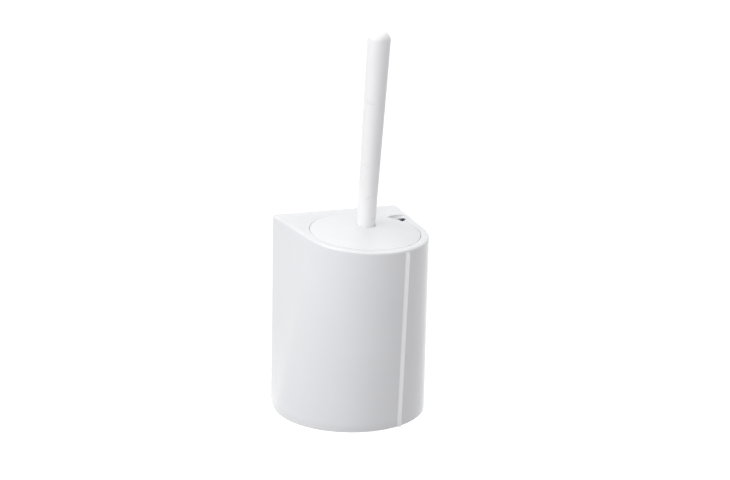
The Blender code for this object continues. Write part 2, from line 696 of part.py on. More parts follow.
def make_stem(axis):
    """Tapered sleeve over the rod, between the lid and the brush hub."""
    flange_foot = STEM_TOP - STEM_FLANGE_THICKNESS
    stem = turned("stem_sleeve", [
        (STEM_FLANGE_RADIUS, STEM_TOP), (STEM_FLANGE_RADIUS, flange_foot),
        (STEM_RADIUS, flange_foot), (STEM_FOOT_RADIUS, STEM_FOOT), (ROD_BORE, STEM_FOOT),
        (ROD_BORE, STEM_TOP)], MID_ROUND_STEPS)
    finish(stem, "nylon", axis)


def make_hub(axis):
    """Core of the brush head, bored for the rod above and for its plug below."""
    rod_hole = HUB_TOP - ROD_IN_HUB - SEAT_GAP
    plug_bore = HUB_PLUG_RADIUS + SEAT_GAP
    plug_hole = HUB_FOOT + HUB_PLUG_LENGTH + SEAT_GAP
    hub = turned("brush_hub", [
        (0.0, rod_hole), (ROD_BORE, rod_hole), (ROD_BORE, HUB_TOP), (HUB_NECK_RADIUS, HUB_TOP),
        (HUB_RADIUS, HUB_TOP - HUB_SHOULDER), (HUB_RADIUS, HUB_FOOT + HUB_CHAMFER),
        (HUB_RADIUS - HUB_CHAMFER, HUB_FOOT), (plug_bore, HUB_FOOT), (plug_bore, plug_hole),
        (0.0, plug_hole)], MID_ROUND_STEPS)
    finish(hub, "nylon", axis)


def make_hub_plug(axis):
    """Low-headed plug that closes the hub's foot."""
    top = HUB_FOOT + HUB_PLUG_LENGTH
    head_side = PLUG_HEAD_TOP - HUB_PLUG_HEAD_THICKNESS * 0.4
    plug = turned("hub_plug", [
        (0.0, top), (HUB_PLUG_RADIUS, top), (HUB_PLUG_RADIUS, PLUG_HEAD_TOP),
        (HUB_PLUG_HEAD_RADIUS, PLUG_HEAD_TOP), (HUB_PLUG_HEAD_RADIUS, head_side),
        (HUB_PLUG_HEAD_RADIUS * 0.75, PLUG_HEAD_FOOT), (0.0, PLUG_HEAD_FOOT)], SMALL_ROUND_STEPS)
    finish(plug, "nylon", axis)


def make_bristles(axis):
    """Room taken by the bristles, as one plain barrel round the hub."""
    inner = HUB_RADIUS + SEAT_GAP
    top = HUB_TOP - HUB_SHOULDER - BRISTLE_TOP_BELOW_HUB
    bend = BRISTLE_ROUNDING
    profile = [(inner, top)]
    profile += arc((BRISTLE_RADIUS - bend, top - bend), bend, 90, 0, 4)
    profile += arc((BRISTLE_RADIUS - bend, BRISTLE_FOOT + bend), bend, 0, -90, 4)
    profile.append((inner, BRISTLE_FOOT))
    bristles = turned("bristles", profile, MID_ROUND_STEPS)
    finish(bristles, "bristle_white", axis)


def main():
    """Build every piece in its place."""
    clear_scene()
    make_collections()
    make_materials()
    seat_axis = deck_axis("seat_axis")
    cup_axis = deck_axis("cup_lift_axis")
    lid_axis = deck_axis("lid_lift_axis")
    brush_axis = deck_axis("brush_turn_axis")
    make_housing(seat_axis)
    make_base_plate()
    make_base_screws()
    make_feet()
    make_seat_ring(seat_axis)
    make_cup(cup_axis)
    make_lid(lid_axis)
    make_lid_bush(lid_axis)
    make_handle(brush_axis)
    make_handle_plug(brush_axis)
    make_rod(brush_axis)
    make_rod_nut(brush_axis)
    make_thrust_washer(brush_axis)
    make_stem(brush_axis)
    make_hub(brush_axis)
    make_hub_plug(brush_axis)
    make_bristles(brush_axis)


main()
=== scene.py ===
"""Toilet brush holder: its finishes and fine forms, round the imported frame.

The housing, cup, lid, handle and brush head are modelled finely here, and each stands for the plain
piece of the frame that it replaces. The other pieces of the frame keep their shape and get a finish.
"""
import math
import random

import bpy
from mathutils import Matrix, Vector


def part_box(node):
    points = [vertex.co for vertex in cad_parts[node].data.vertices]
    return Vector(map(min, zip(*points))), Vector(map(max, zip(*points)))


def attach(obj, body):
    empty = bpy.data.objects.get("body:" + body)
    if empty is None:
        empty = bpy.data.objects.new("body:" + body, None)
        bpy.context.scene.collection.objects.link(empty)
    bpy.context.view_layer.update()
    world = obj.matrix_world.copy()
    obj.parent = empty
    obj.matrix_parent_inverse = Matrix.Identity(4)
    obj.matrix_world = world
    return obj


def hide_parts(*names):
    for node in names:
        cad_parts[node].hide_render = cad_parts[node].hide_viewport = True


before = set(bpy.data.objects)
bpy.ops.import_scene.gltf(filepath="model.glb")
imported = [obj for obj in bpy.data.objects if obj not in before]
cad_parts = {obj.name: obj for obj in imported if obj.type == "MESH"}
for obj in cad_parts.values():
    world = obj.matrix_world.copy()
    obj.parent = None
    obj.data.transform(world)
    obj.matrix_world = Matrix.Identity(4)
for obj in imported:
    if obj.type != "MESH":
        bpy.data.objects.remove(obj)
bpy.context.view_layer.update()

MM = 0.001

# Housing
BACK_HEIGHT = 190 * MM
DECK_SLOPE = math.radians(5.8)
BACK_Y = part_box("housing")[1][1]
TOP_BACK_WIDTH = 135 * MM
TOP_NOSE_RADIUS = 60.5 * MM
TOP_NOSE_SETBACK = 67.5 * MM
FOOT_BACK_WIDTH = 134 * MM
FOOT_NOSE_RADIUS = 75 * MM
FOOT_NOSE_SETBACK = 40.5 * MM
BACK_CORNER_RADIUS = 4 * MM
RIM_RADIUS = 2 * MM
FOOT_EDGE_RADIUS = 0.8 * MM
WALL = 3 * MM
DECK_THICKNESS = 3 * MM
FOOT_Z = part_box("housing")[0][2]

# Moulded bead down the front: a long slope and a short drop, faded out under the rim
BEAD_BEARING = math.radians(14.2)
BEAD_WIDTH = 4.3 * MM
BEAD_DROP = 0.9 * MM
BEAD_HEIGHT = 2.0 * MM
BEAD_MARGIN = 0.2 * MM
BEAD_TOP_LEVEL = 0.985
BEAD_FADE = ((0.992, 0.7), (1.0, 0.0))
COLUMNS_BEFORE_BEAD = 104
COLUMNS_AFTER_BEAD = 64

# Lid, well and scoop, with heights measured from the deck's plane along the lid's axis
LID_RADIUS = 52.3 * MM
LID_GAP = 0.3 * MM
COLLAR_GAP = 0.5 * MM
LID_SETBACK = 68.5 * MM
LID_RISE = 7 * MM
LID_THICKNESS = 2.5 * MM
LID_SKIRT = 4.9 * MM
LID_SKIRT_WALL = 2.4 * MM
LID_EDGE = 0.9 * MM
LID_BOSS_WALL = 3 * MM
LID_WEB_TOP = -9.5 * MM
LID_WEB_FOOT = -12 * MM
LID_BUSH_RADIUS = 6.3 * MM
SEAT_GAP = 0.3 * MM
OPENING_RADIUS = LID_RADIUS + LID_GAP
LEDGE_RADIUS = 48.2 * MM
LEDGE_TOP = -9.5 * MM
LEDGE_FOOT = -12.5 * MM
WELL_WALL = 3 * MM
WELL_EDGE = 0.25 * MM
SCOOP_BEARING = math.radians(30)
SCOOP_SIZE = Vector((17, 9, 8.5)) * MM
SCOOP_SHELL = 2.5 * MM
FINGER_HOLE_REACH = OPENING_RADIUS + 11 * MM
FINGER_HOLE_DEPTH = 5.5 * MM
FINGER_HOLE_SIZE = Vector((7, 5.2, 3.4)) * MM

# Cup
CUP_FLANGE_TOP = -5.2 * MM
CUP_FLANGE_FOOT = -7.4 * MM
CUP_TOP_RADIUS = 47.5 * MM
CUP_FOOT_RADIUS = 42.5 * MM
CUP_DEPTH = 168 * MM
CUP_WALL = 2.2 * MM
CUP_BEND = 5 * MM
CUP_LIP = 0.8 * MM
FLOOR_RING = 2 * MM

# Handle
HANDLE_TOP = 187.9 * MM
HANDLE_TOP_RADIUS = 10.6 * MM
HANDLE_FOOT_RADIUS = 8.7 * MM
HANDLE_FOOT = -5 * MM
HANDLE_WALL = 2.2 * MM
HANDLE_ROUNDING = 7.5 * MM
HANDLE_CROWN = 0.6 * MM
HANDLE_FOOT_CHAMFER = 0.3 * MM
CROWN_RING = 0.6 * MM

# Brush head
HUB_TOP = -80.3 * MM
HUB_FOOT = HUB_TOP - 72 * MM
HUB_RADIUS = 11 * MM
HUB_NECK = 7.5 * MM
HUB_SHOULDER = 7 * MM
HUB_CHAMFER = 1.5 * MM
ROD_HOLE = 3.3 * MM
PLUG_HOLE = 5.3 * MM
PLUG_DEPTH = 9.3 * MM
PLUG_HEAD = 2.6 * MM
PLUG_GAP = 0.3 * MM
BRISTLES_PAST_PLUG = 3 * MM
BRISTLE_RADIUS = 36 * MM
BRISTLE_TOP = HUB_TOP - HUB_SHOULDER - 5 * MM
BRISTLE_FOOT = HUB_FOOT - PLUG_GAP - PLUG_HEAD - BRISTLES_PAST_PLUG
BRISTLE_ROUNDING = 14 * MM
TUFT_ROWS = 15
TUFTS_ROUND = 20
STRANDS_IN_TUFT = 9
STRAND_RADIUS = 0.28 * MM
STRAND_TAPER = 0.55
FIRST_TUFT = BRISTLE_TOP - 3 * MM
LAST_TUFT = BRISTLE_FOOT + 7 * MM
TUFT_SPLAY = 4.5 * MM
ROOT_SCATTER = 0.8 * MM
TIP_SCATTER = 2.6 * MM
TURN_SCATTER = 0.075
SHORTEST_STRAND = 0.965
LONGEST_STRAND = 0.995
TIP_CLEARANCE = 0.8 * MM

# Camera
CAMERA_PLACE = Vector((-0.4864, -0.9843, 0.4411))
CAMERA_AZIMUTH = math.radians(-26.4)
CAMERA_ELEVATION = math.radians(13.7)
CAMERA_ROLL = math.radians(1.43)
CAMERA_LENS = 59.1

# Studio
STAGE_RADIUS = 6.0
STAGE_RISE = 5.0
STAGE_GLOW = 1.0
STAGE_COLOUR = (0.25, 0.25, 0.25, 1.0)
ROOM_GLOW = 0.48
LOW_ROOM_GLOW = 0.425
ROOM_COLOUR = (0.98, 0.965, 1.0, 1.0)
LIGHT_AIM = (0.0, 0.0, 0.15)
KEY_PLACE = (-1.3, -0.2, 0.72)
KEY_SIZE = (1.1, 1.2)
KEY_POWER = 9.9
TOP_PLACE = (0.05, 0.0, 1.5)
TOP_SIZE = (2.2, 2.0)
TOP_COLOUR = (0.98, 1.0, 0.985)
TOP_POWER = 11.0
FRONT_PLACE = (-0.8, -1.45, 0.9)
FRONT_SIZE = (0.8, 1.0)
FRONT_POWER = 4.6

LID_Y = BACK_Y - LID_SETBACK


def deck_height(y):
    """Height of the sloping deck's plane at a distance from the back."""
    return BACK_HEIGHT + (y - BACK_Y) * math.tan(DECK_SLOPE)


DECK_PLACE = (Matrix.Translation((0.0, LID_Y, deck_height(LID_Y)))
              @ Matrix.Rotation(DECK_SLOPE, 4, "X"))


# Working by hand: one piece at a time, with nothing else selected

def only(piece):
    """Select one piece and nothing else, and work on it."""
    bpy.ops.object.select_all(action="DESELECT")
    piece.select_set(True)
    bpy.context.view_layer.objects.active = piece


def fresh(name):
    """Name the piece that an operator has just added."""
    made = bpy.context.object
    made.name = name
    made.data.name = name
    return made


def settle(piece, place=None):
    """Put a piece in its place, and keep the place in its mesh."""
    if place is not None:
        piece.matrix_world = place @ piece.matrix_world
    only(piece)
    bpy.ops.object.transform_apply(location=True, rotation=True, scale=True)
    return piece


def smooth(piece, degrees=32):
    """Shade round surfaces smooth and keep the true corners."""
    only(piece)
    bpy.ops.object.shade_smooth_by_angle(angle=math.radians(degrees))
    return piece


def turn(name, profile, steps, capped=False):
    """A turned form about Z: a circle drawn out and resized from point to point of its profile.

    The profile is closed into a ring, unless its two ends are to be capped flat.
    """
    bpy.ops.object.select_all(action="DESELECT")
    radius, height = profile[0]
    bpy.ops.mesh.primitive_circle_add(vertices=steps, radius=radius, location=(0.0, 0.0, height))
    piece = fresh(name)
    settle(piece)
    bpy.ops.object.mode_set(mode="EDIT")
    bpy.ops.mesh.select_all(action="SELECT")
    for next_radius, next_height in profile[1:]:
        bpy.ops.mesh.extrude_region_move(
            TRANSFORM_OT_translate={"value": (0.0, 0.0, next_height - height)})
        grow = next_radius / radius
        bpy.ops.transform.resize(value=(grow, grow, 1.0), center_override=(0.0, 0.0, next_height))
        radius, height = next_radius, next_height
    bpy.ops.mesh.select_all(action="DESELECT")
    bpy.ops.mesh.select_non_manifold(extend=False)
    if capped:
        bpy.ops.mesh.fill_holes(sides=0)
    else:
        bpy.ops.mesh.bridge_edge_loops()
    bpy.ops.mesh.select_all(action="SELECT")
    bpy.ops.mesh.normals_make_consistent(inside=False)
    bpy.ops.object.mode_set(mode="OBJECT")
    return piece


def arc(centre, radius, start, end, steps):
    """Points on a circle arc in a profile, with both ends, angles in degrees."""
    points = []
    for i in range(steps + 1):
        angle = math.radians(start + (end - start) * i / steps)
        points.append((centre[0] + radius * math.cos(angle), centre[1] + radius * math.sin(angle)))
    return points


def line(start, end, steps):
    """Points along a straight stretch of a profile, without its first end."""
    points = []
    for i in range(1, steps + 1):
        share = i / steps
        points.append((start[0] + (end[0] - start[0]) * share,
                       start[1] + (end[1] - start[1]) * share))
    return points


def cut(piece, tool, operation="DIFFERENCE"):
    """Cut a piece with a closed form, then put the form away."""
    only(piece)
    step = piece.modifiers.new("cut", "BOOLEAN")
    step.operation = operation
    step.solver = "EXACT"
    step.object = tool
    bpy.ops.object.modifier_apply(modifier=step.name)
    bpy.data.objects.remove(tool)


# Housing

def section(level):
    """Back width, nose radius and nose centre of the plan, from the foot (0) to the deck (1)."""
    width = FOOT_BACK_WIDTH + (TOP_BACK_WIDTH - FOOT_BACK_WIDTH) * level
    radius = FOOT_NOSE_RADIUS + (TOP_NOSE_RADIUS - FOOT_NOSE_RADIUS) * level
    setback = FOOT_NOSE_SETBACK + (TOP_NOSE_SETBACK - FOOT_NOSE_SETBACK) * level
    return width, radius, BACK_Y - setback


def bead_rise(angle, radius):
    """Height of the moulded bead at an angle round the nose: a long slope, then a short drop."""
    along = (angle - (1.5 * math.pi + BEAD_BEARING)) * radius + BEAD_WIDTH / 2
    if along <= 0.0 or along >= BEAD_WIDTH:
        return 0.0
    if along < BEAD_WIDTH - BEAD_DROP:
        return BEAD_HEIGHT * along / (BEAD_WIDTH - BEAD_DROP)
    return BEAD_HEIGHT * (BEAD_WIDTH - along) / BEAD_DROP


def spread(start, end, steps):
    """Evenly spaced values from a start to an end, with both."""
    return [start + (end - start) * i / steps for i in range(steps + 1)]


def nose_angles(facing, radius, beaded):
    """Angles round the nose, evenly spread on each side of the bead and set to its corners."""
    start = math.pi - facing
    end = math.tau + facing
    if not beaded:
        return spread(start, end, COLUMNS_BEFORE_BEAD + COLUMNS_AFTER_BEAD)
    left = 1.5 * math.pi + BEAD_BEARING - BEAD_WIDTH / 2 / radius
    right = left + BEAD_WIDTH / radius
    top = right - BEAD_DROP / radius
    margin = BEAD_MARGIN / radius
    angles = spread(start, left - margin, COLUMNS_BEFORE_BEAD)
    angles += [left, left + (top - left) * 0.5, top, right]
    return angles + spread(right + margin, end, COLUMNS_AFTER_BEAD)


def plan(level, inset=0.0, flat_steps=10, corner_steps=8, beaded=False, rise=1.0):
    """Outline of the plan: two small back corners, two flat sides and the round nose.

    The rise is the share of the bead's full height, for its faded top end.
    """
    width, radius, nose_y = section(level)
    across = width / 2
    back = BACK_Y - nose_y
    facing = math.atan2(back, across) - math.acos(radius / math.hypot(across, back))
    small = max(BACK_CORNER_RADIUS - inset, 0.5 * MM)
    moved = max(BACK_CORNER_RADIUS, inset + small)
    corner_x = (radius - moved - (back - moved) * math.sin(facing)) / math.cos(facing)
    corner_y = BACK_Y - moved
    right = arc((corner_x, corner_y), small, math.degrees(facing), 90.0, corner_steps)
    left = [(-x, y) for x, y in reversed(right)]
    nose = []
    for angle in nose_angles(facing, radius, beaded):
        reach = radius - inset + (bead_rise(angle, radius) * rise if beaded else 0.0)
        nose.append((reach * math.cos(angle), nose_y + reach * math.sin(angle)))
    outline = right + line(right[-1], left[0], flat_steps)[:-1] + left
    outline += line(left[-1], nose[0], flat_steps)[:-1] + nose
    outline += line(nose[-1], right[0], flat_steps)[:-1]
    return outline


def loft_row(level, inset, drop, lift=0.0, beaded=False, rise=1.0):
    """One closed row of points round the housing, from its foot (0) to its deck (1).

    The drop lowers the deck, the lift raises the row, and rise is the bead's share of its height.
    """
    row = []
    for x, y in plan(level, inset, beaded=beaded, rise=rise):
        tall = deck_height(y) - drop - FOOT_Z
        row.append(Vector((x, y, FOOT_Z + tall * level + lift)))
    return row


def wrap(name, rows):
    """A flat grid wrapped round into a closed form through its rows, with flat ends."""
    columns = len(rows[0])
    bpy.ops.object.select_all(action="DESELECT")
    bpy.ops.mesh.primitive_grid_add(
        x_subdivisions=columns, y_subdivisions=len(rows) - 1, size=1.0)
    piece = fresh(name)
    for point in piece.data.vertices:
        column = round((point.co.x + 0.5) * columns) % columns
        row = round((point.co.y + 0.5) * (len(rows) - 1))
        point.co = rows[row][column]
    only(piece)
    bpy.ops.object.mode_set(mode="EDIT")
    bpy.ops.mesh.select_all(action="SELECT")
    bpy.ops.mesh.remove_doubles(threshold=0.000001)
    bpy.ops.mesh.fill_holes(sides=0)
    bpy.ops.mesh.normals_make_consistent(inside=False)
    bpy.ops.object.mode_set(mode="OBJECT")
    return piece


def rounded_rows(levels=20, rim=8, foot=3):
    """Rows of the housing's outside: a softened foot, the walls with the bead, and the round rim."""
    rows = []
    for i in range(foot):
        angle = math.pi / 2 * i / foot
        rows.append(loft_row(0.0, FOOT_EDGE_RADIUS * (1 - math.sin(angle)), RIM_RADIUS,
                             FOOT_EDGE_RADIUS * (1 - math.cos(angle)), beaded=True))
    lowest = FOOT_EDGE_RADIUS / (BACK_HEIGHT - FOOT_Z)
    for i in range(levels + 1):
        level = lowest + (BEAD_TOP_LEVEL - lowest) * i / levels
        rows.append(loft_row(level, 0.0, RIM_RADIUS, beaded=True))
    for level, rise in BEAD_FADE:
        rows.append(loft_row(level, 0.0, RIM_RADIUS, beaded=True, rise=rise))
    for i in range(1, rim + 1):
        angle = math.pi / 2 * i / rim
        rows.append(loft_row(1.0, RIM_RADIUS * (1 - math.cos(angle)),
                             RIM_RADIUS * (1 - math.sin(angle)), beaded=True, rise=0.0))
    return rows


def egg(name, size, reach, depth):
    """A ball drawn out to a size, at a reach from the lid's centre on the scoop's bearing."""
    bpy.ops.object.select_all(action="DESELECT")
    bpy.ops.mesh.primitive_uv_sphere_add(segments=64, ring_count=32, radius=1.0)
    made = fresh(name)
    bpy.ops.transform.resize(value=size)
    settle(made, Matrix.Rotation(SCOOP_BEARING, 4, "Z") @ Matrix.Translation((reach, 0, -depth)))
    return settle(made, DECK_PLACE)


def on_bead(point):
    """Whether a point on the housing's outside lies on the slope of the moulded bead."""
    level = (point.z - FOOT_Z) / (deck_height(point.y) - FOOT_Z)
    if not 0.0 < level < BEAD_TOP_LEVEL:
        return False
    _, radius, nose_y = section(level)
    reach = math.hypot(point.x, point.y - nose_y)
    angle = math.atan2(point.y - nose_y, point.x) % math.tau
    along = (angle - (1.5 * math.pi + BEAD_BEARING)) * radius + BEAD_WIDTH / 2
    return 0.0 < along < BEAD_WIDTH - BEAD_DROP and reach > radius - BEAD_MARGIN


def make_housing():
    """Outer shell in one moulding, with its hollow, its well and the finger scoop."""
    shell = wrap("housing_shell", rounded_rows())
    hollow = wrap("hollow_form", [
        loft_row(-0.05 + 1.05 * i / 6, WALL, DECK_THICKNESS) for i in range(7)])
    well = turn("well_form", [
        (OPENING_RADIUS + WELL_WALL, 9 * MM), (OPENING_RADIUS + WELL_WALL, LEDGE_FOOT)],
        128, capped=True)
    cut(hollow, settle(well, DECK_PLACE))
    around = Vector((SCOOP_SHELL, SCOOP_SHELL, SCOOP_SHELL))
    cut(hollow, egg("scoop_shell_form", SCOOP_SIZE + around, OPENING_RADIUS, 0.0))
    cut(shell, hollow)
    edge = OPENING_RADIUS + WELL_EDGE
    profile = [(edge, 6 * MM), (edge, 0.001 * MM)]
    profile += arc((edge, -WELL_EDGE), WELL_EDGE, 90, 180, 3)[1:]
    profile += [(OPENING_RADIUS, LEDGE_TOP), (LEDGE_RADIUS, LEDGE_TOP), (LEDGE_RADIUS, LEDGE_FOOT * 1.4)]
    opening = turn("opening_form", profile, 160, capped=True)
    cut(shell, settle(opening, DECK_PLACE))
    cut(shell, egg("scoop_form", SCOOP_SIZE, OPENING_RADIUS, 0.0))
    cut(shell, egg("finger_hole_form", FINGER_HOLE_SIZE, FINGER_HOLE_REACH, FINGER_HOLE_DEPTH))
    return shell


# Cup, lid and handle

def make_cup():
    """Lift-out cup with a rolled flange."""
    lean = (CUP_TOP_RADIUS - CUP_FOOT_RADIUS) / (CUP_DEPTH + CUP_FLANGE_FOOT)
    flange = OPENING_RADIUS - SEAT_GAP
    soft = CUP_LIP
    middle = (CUP_FLANGE_TOP + CUP_FLANGE_FOOT) / 2
    profile = [(FLOOR_RING, -CUP_DEPTH)]
    profile += arc((CUP_FOOT_RADIUS + lean * CUP_BEND - CUP_BEND, -CUP_DEPTH + CUP_BEND),
                   CUP_BEND, -90, 0, 8)
    profile += line(profile[-1], (CUP_TOP_RADIUS, CUP_FLANGE_FOOT), 12)
    profile += arc((flange - soft, CUP_FLANGE_FOOT + soft), soft, -90, 0, 4)
    profile += [(flange, middle)]
    profile += arc((flange - soft, CUP_FLANGE_TOP - soft), soft, 0, 90, 4)
    inner = CUP_TOP_RADIUS - CUP_WALL
    profile += arc((inner + soft, CUP_FLANGE_TOP - soft), soft, 90, 180, 4)
    bend = CUP_BEND - CUP_WALL
    floor = CUP_FOOT_RADIUS - CUP_WALL
    inside = arc((floor - bend + lean * bend, -CUP_DEPTH + CUP_WALL + bend), bend, 0, -90, 8)
    profile += line(profile[-1], inside[0], 12) + inside[1:]
    profile += [(FLOOR_RING, -CUP_DEPTH + CUP_WALL)]
    return settle(turn("cup_liner", profile, 128, capped=True), DECK_PLACE)


def dome_height(reach):
    """Height of the lid's domed top at a distance from its middle."""
    ball = (LID_RADIUS ** 2 + LID_RISE ** 2) / (2 * LID_RISE)
    return math.sqrt(ball ** 2 - reach ** 2) - (ball - LID_RISE)


def make_lid():
    """Shallow domed lid with a rounded edge, a skirt and the collar round the handle."""
    hole = HANDLE_FOOT_RADIUS + COLLAR_GAP
    soft = 0.5 * MM
    start = hole + soft
    end = LID_RADIUS - LID_EDGE
    profile = arc((start, dome_height(start) - soft), soft, 180, 90, 4)
    for i in range(1, 25):
        reach = start + (end - start) * i / 24
        profile.append((reach, dome_height(reach)))
    profile += arc((end, dome_height(end) - LID_EDGE), LID_EDGE, 74, 0, 5)
    skirt_in = LID_RADIUS - LID_SKIRT_WALL
    profile += [(LID_RADIUS, -LID_SKIRT + 0.4 * MM), (LID_RADIUS - 0.4 * MM, -LID_SKIRT),
                (skirt_in, -LID_SKIRT)]
    boss = hole + LID_BOSS_WALL
    for i in range(13):
        reach = skirt_in + (boss - skirt_in) * i / 12
        profile.append((reach, dome_height(reach) - LID_THICKNESS))
    profile += [(boss, LID_WEB_FOOT), (LID_BUSH_RADIUS, LID_WEB_FOOT),
                (LID_BUSH_RADIUS, LID_WEB_TOP), (hole, LID_WEB_TOP)]
    return settle(turn("lid_dome", profile, 192), DECK_PLACE)


def handle_radius(height):
    """Outer radius of the tapered handle at a height above the deck."""
    share = (height - HANDLE_FOOT) / (HANDLE_TOP - HANDLE_FOOT)
    return HANDLE_FOOT_RADIUS + (HANDLE_TOP_RADIUS - HANDLE_FOOT_RADIUS) * share


def make_handle():
    """Hollow tapered handle with a softly rounded closed top."""
    shoulder = HANDLE_TOP - HANDLE_CROWN - HANDLE_ROUNDING
    widest = handle_radius(shoulder)
    crown = widest - HANDLE_ROUNDING
    profile = [(CROWN_RING, HANDLE_TOP), (crown * 0.55, HANDLE_TOP - HANDLE_CROWN * 0.3)]
    profile += arc((crown, shoulder), HANDLE_ROUNDING, 86, 0, 14)
    profile += line(profile[-1], (HANDLE_FOOT_RADIUS, HANDLE_FOOT + HANDLE_FOOT_CHAMFER), 24)
    profile += [(HANDLE_FOOT_RADIUS - HANDLE_FOOT_CHAMFER, HANDLE_FOOT),
                (HANDLE_FOOT_RADIUS - HANDLE_WALL, HANDLE_FOOT)]
    inner = HANDLE_ROUNDING - HANDLE_WALL
    profile += arc((crown, shoulder), inner, 0, 84, 6)
    profile += [(CROWN_RING, shoulder + inner)]
    return settle(turn("handle_sleeve", profile, 96, capped=True), DECK_PLACE)


# Brush head

def bristle_reach(height):
    """How far the bristles' tips stand from the axis at a height."""
    from_end = min(BRISTLE_TOP - height, height - BRISTLE_FOOT)
    if from_end >= BRISTLE_ROUNDING:
        return BRISTLE_RADIUS
    short = BRISTLE_ROUNDING - max(from_end, 0.0)
    return BRISTLE_RADIUS - BRISTLE_ROUNDING + math.sqrt(BRISTLE_ROUNDING ** 2 - short ** 2)


def make_strand():
    """One bristle, thick at its root, along X: a three-sided bar with a drawn-out tip."""
    bpy.ops.object.select_all(action="DESELECT")
    bpy.ops.mesh.primitive_cylinder_add(vertices=3, radius=STRAND_RADIUS, depth=1.0,
                                        location=(0.5, 0.0, 0.0), rotation=(0.0, math.pi / 2, 0.0))
    strand = fresh("bristle_strand")
    settle(strand)
    bpy.ops.object.mode_set(mode="EDIT")
    bpy.ops.mesh.select_all(action="SELECT")
    bpy.ops.mesh.bisect(plane_co=(0.6, 0.0, 0.0), plane_no=(1.0, 0.0, 0.0))
    bpy.ops.object.mode_set(mode="OBJECT")
    for point in strand.data.vertices:
        if point.co.x > 0.9:
            point.co.y *= STRAND_TAPER
            point.co.z *= STRAND_TAPER
    return strand


def make_bristles():
    """Rows of tufts round the hub, each a small bundle that splays towards its tips."""
    dice = random.Random(11)
    strand = make_strand()
    root = HUB_RADIUS - 0.3 * MM
    bundles = []
    for row in range(TUFT_ROWS):
        share = row / (TUFT_ROWS - 1)
        at = FIRST_TUFT + (LAST_TUFT - FIRST_TUFT) * share
        lean = (0.5 - share) * TUFT_SPLAY
        for column in range(TUFTS_ROUND):
            around = math.tau * (column + 0.5 * (row % 2)) / TUFTS_ROUND
            for _ in range(STRANDS_IN_TUFT):
                tip = at + lean + dice.uniform(-TIP_SCATTER, TIP_SCATTER)
                tip = min(max(tip, BRISTLE_FOOT + TIP_CLEARANCE), BRISTLE_TOP - TIP_CLEARANCE)
                reach = bristle_reach(tip) * dice.uniform(SHORTEST_STRAND, LONGEST_STRAND)
                side = dice.uniform(-TURN_SCATTER, TURN_SCATTER)
                shift = dice.uniform(-ROOT_SCATTER, ROOT_SCATTER)
                bundles.append((around, around + side, at + shift, tip, reach))
    copies = []
    for around, tip_around, at, tip, reach in bundles:
        start = Vector((root * math.cos(around), root * math.sin(around), at))
        end = Vector((reach * math.cos(tip_around), reach * math.sin(tip_around), tip))
        along = end - start
        copy = strand.copy()
        copy.data = strand.data.copy()
        bpy.context.scene.collection.objects.link(copy)
        turn_to = along.to_track_quat("X", "Z").to_matrix().to_4x4()
        copy.data.transform(Matrix.Translation(start) @ turn_to
                            @ Matrix.Diagonal((along.length, 1.0, 1.0, 1.0)))
        copies.append(copy)
    bpy.data.objects.remove(strand)
    bpy.ops.object.select_all(action="DESELECT")
    for copy in copies:
        copy.select_set(True)
    bpy.context.view_layer.objects.active = copies[0]
    bpy.ops.object.join()
    return settle(fresh("bristle_tufts"), DECK_PLACE)


def make_hub():
    """Core of the brush head with soft shoulders."""
    profile = [(ROD_HOLE, HUB_TOP), (HUB_NECK - 0.5 * MM, HUB_TOP), (HUB_NECK, HUB_TOP - 0.5 * MM)]
    for i in range(1, 9):
        share = i / 8
        ease = (1 - math.cos(math.pi * share)) / 2
        profile.append((HUB_NECK + (HUB_RADIUS - HUB_NECK) * ease, HUB_TOP - HUB_SHOULDER * share))
    profile += arc((HUB_RADIUS - HUB_CHAMFER, HUB_FOOT + HUB_CHAMFER), HUB_CHAMFER, 0, -90, 5)
    profile += [(PLUG_HOLE, HUB_FOOT), (PLUG_HOLE, HUB_FOOT + PLUG_DEPTH),
                (ROD_HOLE, HUB_FOOT + PLUG_DEPTH + 0.1 * MM)]
    return settle(turn("hub_core", profile, 64), DECK_PLACE)


# Finishes

def new_material(name):
    """An empty node material with its Principled shader."""
    made = bpy.data.materials.new(name)
    made.use_nodes = True
    tree = made.node_tree
    return made, tree, tree.nodes["Principled BSDF"]


